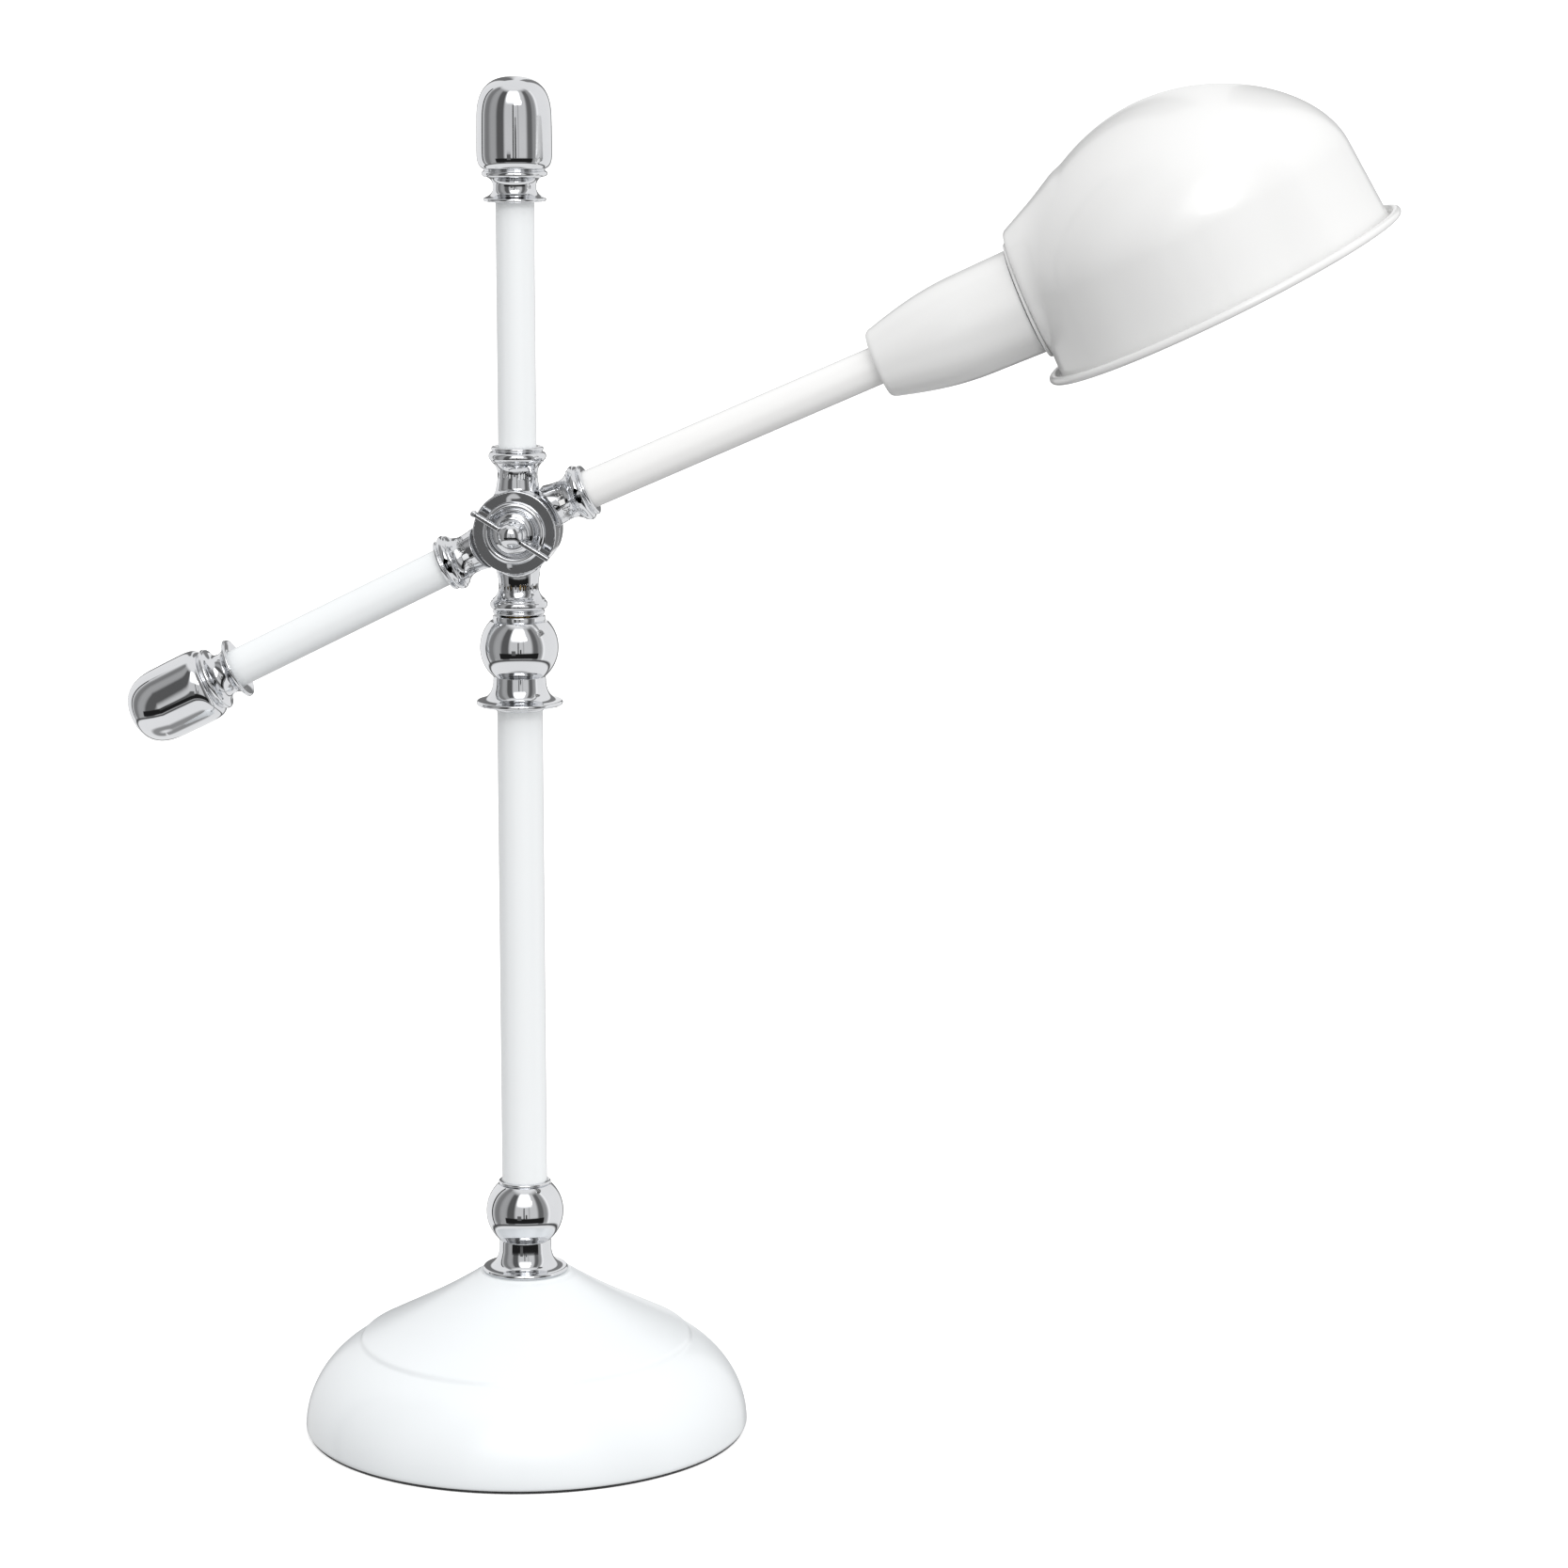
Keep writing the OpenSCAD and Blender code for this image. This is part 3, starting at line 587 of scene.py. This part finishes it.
def wing_field(points):
    x, y, z = points.T
    u = x * math.cos(WING_ANGLE) + y * math.sin(WING_ANGLE)
    v = -x * math.sin(WING_ANGLE) + y * math.cos(WING_ANGLE)
    body = nut_body(np.hypot(x, y), z)
    left, right = -SPAN / 2 + 1, SPAN / 2
    taper = 0.78 + 0.12 * np.clip(1 - np.abs(u) / 12, 0, 1)
    mid, tall = NUT_BASE + 4.7, 1.7
    qu = np.abs(u - (left + right) / 2) - (right - left) / 2 + 0.25
    qv = np.abs(v) - taper + 0.25
    qw = np.abs(z - mid) - tall + 0.25
    q = np.stack([qu, qv, qw])
    blade = np.linalg.norm(np.maximum(q, 0), axis=0) + np.minimum(q.max(0), 0) - 0.25
    er, ew = np.hypot(u - left, v) - 0.65, np.abs(z - mid) - 1.25
    end = np.hypot(np.maximum(er, 0), np.maximum(ew, 0)) + np.minimum(np.maximum(er, ew), 0) - 0.45
    bolt_hole = np.maximum(np.hypot(x, y) - BOLT, z - NUT_BASE - 3.6)
    return cut(union(union(body, blade, 1.2), end, 0.4), bolt_hole, 0.2)


half_x = SPAN / 2 * math.cos(WING_ANGLE) + 1.5
half_y = SPAN / 2 * abs(math.sin(WING_ANGLE)) + 1.5
cast("wing_nut_chrome", wing_field, (-half_x, -half_y, NUT_BASE - 1), (half_x, half_y, NUT_BASE + 9),
     NUT_STEP, FACE, "wing_nut", ["wing_nut"])
bolt_place = along(PIVOT, Vector((0, 1, 0)), Vector((0, 0, 1)))
bolt_front = -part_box("pivot_bolt")[0].y / MM
lathe("pivot_bolt_turned",
      [(0, -bolt_front), (3, -bolt_front), (3, DISC_FACE), (7.3, DISC_FACE), (7.6, DISC_FACE + 0.5)]
      + arc((0, DISC_FACE + 0.9), 7.6, 3.4, 0, 90, 24)[:-1] + [(0, DISC_FACE + 4.3)],
      bolt_place, "arm", CHROME, ["pivot_bolt"], round_by=0.2)

# ---- front arm, socket cup and lamp ----


cup_low, cup_high = span_along("socket_cup", FRONT_FOOT, FRONT_AXIS)
tube_low, tube_high = span_along("front_arm_tube", FRONT_FOOT, FRONT_AXIS)
tube("front_arm_tube_white", "front_arm_tube", tube_r, tube_low, tube_high, FRONT, "arm", ARM_WHITE)


def cup_line(inset):
    c = cup_low + inset
    return (curve((11.2 - inset, c), (12.5 - inset, c), (13.3 - inset, c + 0.9), (13.7 - inset, c + 2.6), 10)
            + curve((13.7 - inset, c + 2.6), (17.4 - inset, c + 16 - inset), (19.6 - inset, c + 26 - inset),
                    (19.8 - inset, c + 40 - inset), 40)[1:]
            + [(20.3 - inset, cup_high)])


lathe("socket_cup_spun",
      [(tube_r + FIT, cup_low)] + cup_line(0) + cup_line(1.2)[::-1] + [(tube_r + FIT, cup_low + 1.2),
                                                                       (tube_r + FIT, cup_low)],
      FRONT, "arm", SHADE_WHITE, ["socket_cup"], steps=192)
lathe("shade_ring_turned",
      [(HOLDER_HOLE, SEAT_X - 1.5), (21.9, SEAT_X - 1.5)]
      + arc((22.05, SEAT_X - 0.78), 0.72, 0.7, -80, 80, 10)
      + [(21.9, SEAT_X - 0.03), (HOLDER_HOLE, SEAT_X - 0.03), (HOLDER_HOLE, SEAT_X - 1.5)],
      FRONT, "shade", SHADE_WHITE, ["shade_ring"], steps=192, round_by=0.1)
bulb_low, bulb_high = span_along("bulb_glass", FRONT_FOOT, FRONT_AXIS)
BULB, BULB_WALL = 23.8, 0.8


def bulb_line(inset):
    return (curve((12.7 - inset, bulb_low + 0.05), (12.7 - inset, bulb_low + 4),
                  (13.4 - inset, bulb_low + 17), (BULB - inset, bulb_low + 22), 20)
            + curve((BULB - inset, bulb_low + 22), (BULB - inset, bulb_low + 27),
                    (BULB - inset, bulb_low + 33), (BULB - inset, bulb_low + 38), 8)[1:]
            + arc((0, bulb_low + 38), BULB - inset, BULB - inset, 0, 90, 36)[1:-1] + [(0, bulb_high - inset)])


lathe("bulb_glass_blown", bulb_line(0) + bulb_line(BULB_WALL)[::-1] + [bulb_line(0)[0]], FRONT, "arm", GLASS,
      ["bulb_glass"], round_by=0)


# ---- shade ----

ACROSS = Vector((0, 1, 0))
ARM = Matrix((FRONT_AXIS, ACROSS, FRONT_AXIS.cross(ACROSS))).transposed().to_4x4()
ARM.translation = FRONT_FOOT
SHADE_R, SHADE_TAPER, SHADE_WALL, DOME_H, SHEET = 66.3, 1.3, 28.1, 47.1, 1.0
SHADE_REACH, SHADE_DROP = 65.8, 24.3
SHADE_ROLL, SHADE_PITCH = math.radians(2.4), math.radians(2.8)
SHADE_FRAME = (ARM @ Matrix.Rotation(SHADE_ROLL, 4, "X")
               @ Matrix.Translation(((SEAT_X + SHADE_REACH) * MM, 0, -SHADE_DROP * MM))
               @ Matrix.Rotation(-SHADE_PITCH, 4, "Y"))
TO_SHADE = SHADE_FRAME.inverted()
NECK_AXIS = np.array(TO_SHADE.to_3x3() @ FRONT_AXIS)
NECK_UP = np.array(TO_SHADE.to_3x3() @ FRONT_AXIS.cross(ACROSS))
RING_SEAT = np.array(TO_SHADE @ (FRONT_FOOT + FRONT_AXIS * SEAT_X * MM)) / MM
NECK_LIFT, NECK_R = 1.8, 24.6
NECK_SEAT = RING_SEAT + NECK_UP * NECK_LIFT
NECK_SLOPE = math.tan(math.radians(26))
BEYOND = 400
PLATE_BLEND = 1.6
FADE_FROM, FADE_OVER, FADE_BY = 24, 12, 10
SEAT_R, SEAT_FALL = 22.4, 2
CREASE_BLEND, JOIN_BLEND = 0.2, 3.3
BLEND_FROM, BLEND_OVER = -20, 16
COLUMNS, ROWS = 320, 130
WALL_TOP = SHADE_R - SHADE_TAPER
DOME_LINE = np.array(curve((SHADE_R, 0), (SHADE_R - SHADE_TAPER / 3, SHADE_WALL / 3),
                           (SHADE_R - SHADE_TAPER / 1.5, SHADE_WALL / 1.5), (WALL_TOP, SHADE_WALL), 400)
                     + curve((WALL_TOP, SHADE_WALL), (WALL_TOP - 1, SHADE_WALL + 22.6),
                             (32.8, SHADE_WALL + DOME_H), (0, SHADE_WALL + DOME_H), 4000)[1:])


def dome_reach(d):
    """How far each ray from the middle of the opening runs before it leaves the bell."""
    climb = np.arctan2(d[..., 2], np.hypot(d[..., 0], d[..., 1]))
    out_to, up_to = DOME_LINE.T
    return np.interp(climb, np.arctan2(up_to, out_to), np.hypot(out_to, up_to))


def neck_reach(d):
    """The same for the cone round the arm's axis, which the flat back plate closes."""
    start = -NECK_SEAT
    along0, along1 = start @ NECK_AXIS, d @ NECK_AXIS
    across0 = start - along0 * NECK_AXIS
    across1 = d - along1[..., None] * NECK_AXIS
    r0, slope = NECK_R + 0.2 + NECK_SLOPE * along0, NECK_SLOPE * along1
    a = (across1 ** 2).sum(-1) - slope ** 2
    b = 2 * (across1 @ across0 - r0 * slope)
    c = (across0 ** 2).sum() - r0 ** 2
    inside = b * b - 4 * a * c
    bottom = -b - np.sqrt(np.maximum(inside, 0))
    leaves = (inside >= 0) & (bottom < -1e-9)
    cone = np.where(leaves, 2 * c / np.where(leaves, bottom, -1), BEYOND)
    plate = np.where(along1 < -1e-6, -along0 / np.where(along1 < -1e-6, along1, -1), BEYOND)
    reach_to = union(cone, plate, PLATE_BLEND)
    depth = along0 + reach_to * along1
    fade = np.clip((depth - FADE_FROM) / FADE_OVER, 0, None)
    return reach_to - FADE_BY * fade ** 2


def seat_reach(d):
    """How far each ray may run: the flat seat behind the ring stops it, and beyond the ring nothing does."""
    along1 = d @ NECK_AXIS
    towards = along1 < -0.05
    stop = np.where(towards, (RING_SEAT @ NECK_AXIS) / np.where(towards, along1, -1), BEYOND)
    off_axis = np.linalg.norm(d * stop[..., None] - RING_SEAT, axis=-1)
    return np.where(towards, stop + SEAT_FALL * np.clip(off_axis - SEAT_R, 0, None) ** 2, BEYOND)


def bell():
    """The shade's outside as rows of points from the rim to the crown."""
    turn = np.linspace(0, TURN, COLUMNS, endpoint=False)[None, :]
    lift = np.linspace(0, math.pi / 2, ROWS + 1)[:, None]
    d = np.stack([np.cos(lift) * np.cos(turn), np.cos(lift) * np.sin(turn),
                  np.sin(lift) * np.ones_like(turn)], -1)
    far, near = dome_reach(d), neck_reach(d)
    over_ring = (d * far[..., None] - RING_SEAT) @ NECK_UP
    k = CREASE_BLEND + JOIN_BLEND * np.clip((over_ring - BLEND_FROM) / BLEND_OVER, 0, 1)
    h = np.maximum(k - np.abs(far - near), 0) / k
    return d * np.minimum(np.maximum(far, near) + h * h * k / 4, seat_reach(d))[..., None]


skin = bell()
du = np.roll(skin, -1, 1) - np.roll(skin, 1, 1)
dv = np.gradient(skin, axis=0)
out = np.cross(du, dv)
out[-1] = (0, 0, 1)
out[0, :, 2] = 0
out /= np.linalg.norm(out, axis=-1, keepdims=True)
lining = skin - out * SHEET
lining[0, :, 2] = 0
sweep = np.linspace(0, TURN, COLUMNS, endpoint=False)
ring_dir = np.stack([np.cos(sweep), np.sin(sweep), np.zeros(COLUMNS)], -1)


def rim_row(offset, z):
    """One ring below the wall; offset is counted outwards from the wall."""
    row = ring_dir * (SHADE_R + offset)
    row[:, 2] = z
    return row


bead = arc((3.37, -2.5), 1.6, 1.6, 172, -140, 30)
rim_outside = [(0.0, -0.5), (0.02, -1.2), (0.12, -2.1), (0.4, -2.9), (0.9, -3.25), (1.4, -3.2),
               (1.75, -2.8)] + bead
rim_inside = [(1.6, -3.85), (0.6, -3.85), (-0.15, -3.6), (-0.6, -2.9), (-0.92, -1.8), (-1.0, -0.7)]
rings = ([skin[i] for i in range(ROWS - 1, -1, -1)] + [rim_row(o, z) for o, z in rim_outside + rim_inside]
         + [lining[i] for i in range(ROWS)])
verts = np.concatenate([skin[-1][:1]] + rings + [lining[-1][:1]])
faces = []
last_ring = 1 + (len(rings) - 1) * COLUMNS
for i in range(COLUMNS):
    j = (i + 1) % COLUMNS
    faces.append((0, 1 + i, 1 + j))
    faces.append((len(verts) - 1, last_ring + j, last_ring + i))
for k in range(len(rings) - 1):
    a, b = 1 + k * COLUMNS, 1 + (k + 1) * COLUMNS
    for i in range(COLUMNS):
        j = (i + 1) % COLUMNS
        faces.append((a + i, b + i, b + j, a + j))
shade = finish_mesh("shade_spun", verts * MM, faces, None, SHADE_FRAME, "shade", SHADE_WHITE, ["shade"])
punch_line = [(0, SEAT_X - 6), (HOLDER_HOLE, SEAT_X - 6), (HOLDER_HOLE, SEAT_X + 5), (0, SEAT_X + 5)]
punch = lathe("punch", punch_line, FRONT, "shade", SHADE_WHITE, round_by=0)
hole = shade.modifiers.new("hole", "BOOLEAN")
hole.object, hole.operation, hole.solver = punch, "DIFFERENCE", "EXACT"
with bpy.context.temp_override(object=shade, active_object=shade, selected_objects=[shade]):
    bpy.ops.object.modifier_apply(modifier="hole")
bpy.data.objects.remove(punch)

# ---- the CAD's own pieces that stay ----

for names, mat in (
        (("base_weight",), IRON),
        (("base_spacer", "base_washer", "base_nut", "cup_nut", "bulb_cap"), STEEL),
        (("base_nipple", "coupling_nipple", "screw_shell", "centre_contact"), BRASS),
        (("cord_bushing",), PLASTIC),
        (("stem_lead", "arm_lead"), JACKET),
        (("friction_washer",), FIBRE),
        (("lamp_holder", "holder_ring"), PHENOLIC)):
    for name in names:
        for material_slot in frame["nodes"][name].material_slots:
            material_slot.material = mat

# ---- floor, light and camera ----

floor_mesh = bpy.data.meshes.new("floor")
FLOOR = 60.0
floor_mesh.from_pydata([(-FLOOR, -FLOOR, 0), (FLOOR, -FLOOR, 0), (FLOOR, FLOOR, 0), (-FLOOR, FLOOR, 0)], [],
                       [(0, 1, 2, 3)])
floor = bpy.data.objects.new("floor", floor_mesh)
bpy.context.scene.collection.objects.link(floor)
floor_mat = bpy.data.materials.new("floor")
floor_mat.use_nodes = True
floor_shader = floor_mat.node_tree.nodes["Principled BSDF"]
floor_shader.inputs["Base Color"].default_value = (0.9, 0.9, 0.9, 1)
floor_shader.inputs["Roughness"].default_value = 0.9
floor_shader.inputs["Specular IOR Level"].default_value = 0.0
floor_shader.inputs["Emission Color"].default_value = (1, 1, 1, 1)
floor_shader.inputs["Emission Strength"].default_value = 0.45
floor_mesh.materials.append(floor_mat)
floor.visible_glossy = False
floor.visible_diffuse = False

YAW_DEGREES, TILT_DEGREES = 6.5, 10.3
YAW, TILT = math.radians(YAW_DEGREES), math.radians(TILT_DEGREES)
scene = bpy.context.scene
scene.view_settings.view_transform = "Standard"
world = bpy.data.worlds.new("studio")
scene.world = world
world.use_nodes = True
wn, wl = world.node_tree.nodes, world.node_tree.links
wn.clear()


def calc(operation, *values):
    """A maths node; each value is a number or another node's output."""
    n = wn.new("ShaderNodeMath")
    n.operation = operation
    for socket, value in zip(n.inputs, values):
        if isinstance(value, (int, float)):
            socket.default_value = value
        else:
            wl.new(value, socket)
    return n.outputs[0]


def step_up(value, edge, soft):
    n = wn.new("ShaderNodeMapRange")
    n.interpolation_type = "SMOOTHSTEP"
    n.inputs["From Min"].default_value, n.inputs["From Max"].default_value = edge - soft, edge + soft
    wl.new(value, n.inputs["Value"])
    return n.outputs["Result"]


def within(value, low, high, soft):
    return calc("SUBTRACT", step_up(value, low, soft), step_up(value, high, soft))


facing = wn.new("ShaderNodeSeparateXYZ")
wl.new(wn.new("ShaderNodeTexCoord").outputs["Generated"], facing.inputs[0])
dx, dy, dz = facing.outputs
degrees = 180 / math.pi
azimuth = calc("SUBTRACT", calc("MULTIPLY", calc("ARCTAN2", dx, calc("MULTIPLY", dy, -1.0)), degrees),
               YAW_DEGREES)
height = calc("MULTIPLY", calc("ARCSINE", dz), degrees)
# What polished metal sees: azimuth from the front, height above level, brightness, softness of the edges
PANELS = (
    (-104, 76, -30, 62, 0.42, 8),
    (-96, -80, -30, 60, 0.30, 3),
    (-74, -56, -30, 58, 0.52, 5),
    (-52, -28, -30, 56, 0.14, 4),
    (-27, 41, -12, 60, 0.85, 5),
    (14, 17, -12, 60, 0.55, 1.5),
    (-22, 24, 26, 60, 3.2, 7),
    (44, 60, -30, 56, 0.18, 4),
    (77, 84, -30, 50, 1.3, 1.5),
    (-114, -108, -34, 44, 0.02, 1.5),
    (156, 174, -30, 50, 0.30, 3),
    (-176, -160, -30, 50, 0.25, 3),
    (-1.6, 1.6, -20, 20, 0.01, 0.5),
    (5, 9, -12, 0, 0.01, 0.8),
    (-58, 62, -27, -12, 0.02, 1.5),
    (-20, -8, -17, -4, 0.16, 1.5),
    (-180, 180, -34, -29, 0.12, 2),
    (-180, 180, -84, -68, 0.40, 5),
)
OPEN_STUDIO = 1.15
seen = OPEN_STUDIO
for a0, a1, h0, h1, bright, soft in PANELS:
    inside_panel = calc("MULTIPLY", within(azimuth, a0, a1, soft), within(height, h0, h1, soft))
    change = calc("MULTIPLY", calc("SUBTRACT", bright, seen), inside_panel)
    seen = calc("ADD", seen, change)
# What lights the paint: soft and even, a little stronger from above, the front and the right
LIGHT_FROM = (0.30, -0.45, 0.84)
lean = calc("ADD", calc("ADD", calc("MULTIPLY", dx, LIGHT_FROM[0]), calc("MULTIPLY", dy, LIGHT_FROM[1])),
            calc("MULTIPLY", dz, LIGHT_FROM[2]))
LEAN_GAIN, EVEN_LIGHT = 0.93, 0.87
soft_sky = calc("ADD", calc("MULTIPLY", lean, LEAN_GAIN), EVEN_LIGHT)
ray = wn.new("ShaderNodeLightPath").outputs
glossy = calc("MAXIMUM", ray["Is Glossy Ray"], ray["Is Transmission Ray"])
level = calc("ADD", calc("MULTIPLY", seen, glossy), calc("MULTIPLY", soft_sky, calc("SUBTRACT", 1.0, glossy)))
WHITE_GROUND = 1.25  # the background node's own colour is 0.8, so this shows as plain white
level = calc("ADD", calc("MULTIPLY", ray["Is Camera Ray"], WHITE_GROUND),
             calc("MULTIPLY", level, calc("SUBTRACT", 1.0, ray["Is Camera Ray"])))
back = wn.new("ShaderNodeBackground")
wl.new(level, back.inputs["Strength"])
wl.new(back.outputs["Background"], wn.new("ShaderNodeOutputWorld").inputs["Surface"])


def soft_light(name, place, target, width, height_m, power):
    data = bpy.data.lights.new(name, "AREA")
    data.shape, data.size, data.size_y, data.energy = "RECTANGLE", width, height_m, power
    lamp = bpy.data.objects.new(name, data)
    lamp.location = place
    lamp.rotation_euler = (Vector(target) - Vector(place)).to_track_quat("-Z", "Y").to_euler()
    bpy.context.scene.collection.objects.link(lamp)


soft_light("key", (0.65, -1.6, 1.32), (0.1, 0, 0.3), 0.72, 0.36, 5)

camera_data = bpy.data.cameras.new("camera")
SENSOR, FOCAL_PX, FRAME_PX = 36, 5000, 1667
camera_data.sensor_width = SENSOR
camera_data.lens = SENSOR * FOCAL_PX / FRAME_PX
camera_data.clip_end = 200
camera = bpy.data.objects.new("camera", camera_data)
bpy.context.scene.collection.objects.link(camera)
AWAY, SIDE, HEIGHT = 1.763, 0.1003, 0.5743
camera.location = (AWAY * math.sin(YAW) + SIDE * math.cos(YAW),
                   -AWAY * math.cos(YAW) + SIDE * math.sin(YAW), HEIGHT)
camera.rotation_euler = (math.pi / 2 - TILT, 0, YAW)
scene.camera = camera
